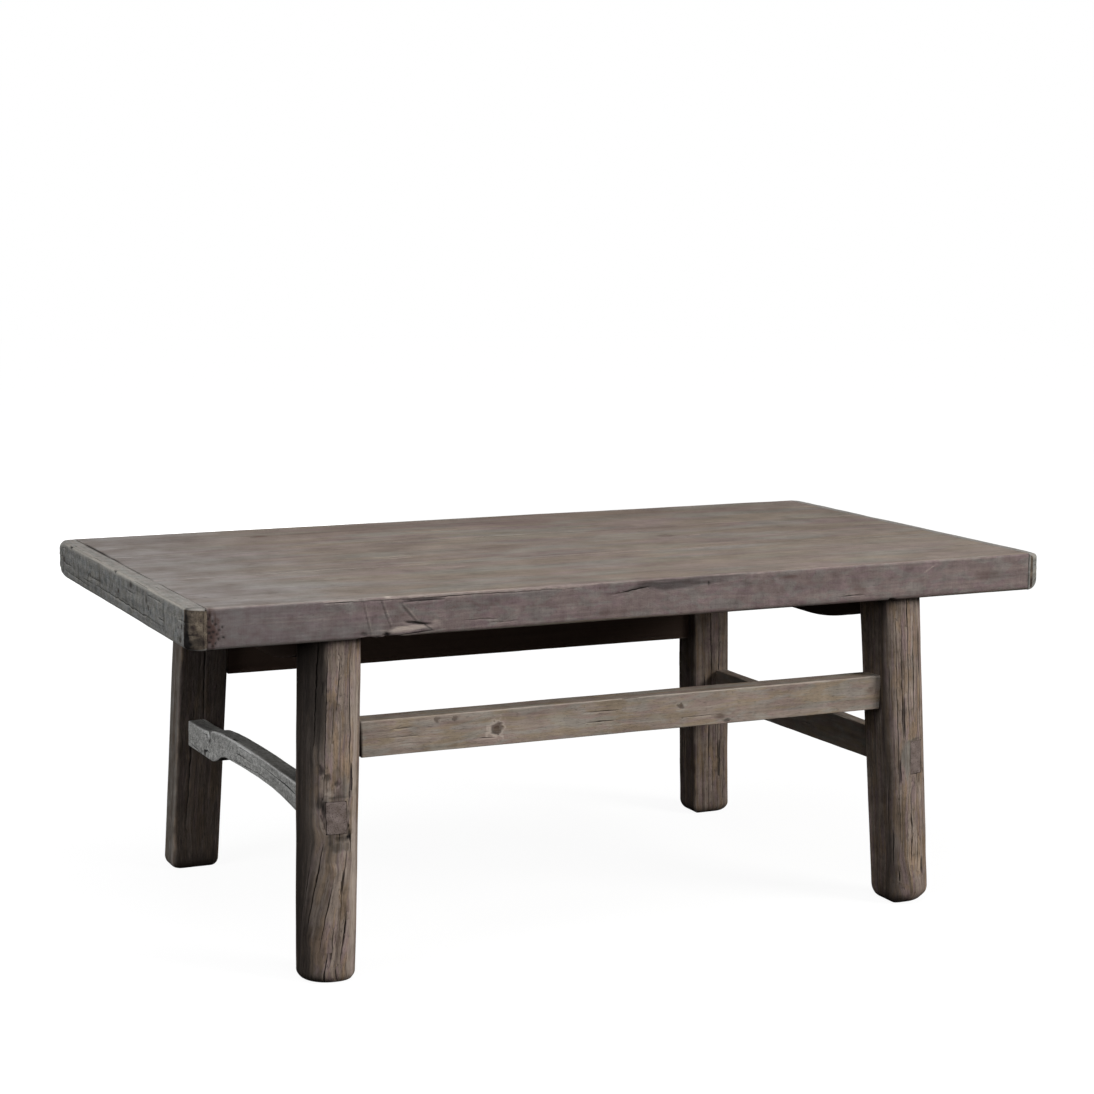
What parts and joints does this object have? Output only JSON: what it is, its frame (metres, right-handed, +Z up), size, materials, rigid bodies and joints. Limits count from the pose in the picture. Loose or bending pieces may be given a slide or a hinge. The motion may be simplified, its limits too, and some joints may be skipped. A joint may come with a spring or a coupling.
{
  "type": "kang table",
  "caption": "Low rustic plank-top table on splayed quarter-log legs, with tongued end strips, long stretchers and a notched, arched end stretcher let right through its legs.",
  "frame": {"origin": "on the floor, under the middle of the top", "axes": "+X along the top towards its right end, +Y from the front stretcher to the back, +Z up"},
  "size_m": [1.2, 0.661, 0.479],
  "materials": {
    "top_wood": "worn matte, dark grey-brown, hand-planed boards",
    "end_strip_wood": "dry matte, weathered grey, knotty",
    "peg_wood": "matte, dark with age",
    "leg_wood": "dry matte, split and grooved along the grain",
    "stretcher_wood": "dry matte, warm grey-brown with small knots",
    "weathered_stretcher_wood": "dry matte, silver-grey, hand-cut"
  },
  "bodies": {
    "root": {"top_plank_front": "top_wood", "top_plank_middle": "top_wood", "top_plank_back": "top_wood", "end_strip_left": "end_strip_wood", "end_strip_right": "end_strip_wood", "end_strip_pegs_left": "peg_wood", "end_strip_pegs_right": "peg_wood", "cross_rail_left": "stretcher_wood", "cross_rail_right": "stretcher_wood", "leg_front_left": "leg_wood", "leg_front_right": "leg_wood", "leg_back_left": "leg_wood", "leg_back_right": "leg_wood", "stretcher_front": "stretcher_wood", "stretcher_back": "stretcher_wood", "stretcher_end_left": "weathered_stretcher_wood", "stretcher_end_right": "stretcher_wood"}
  },
  "joints": []
}
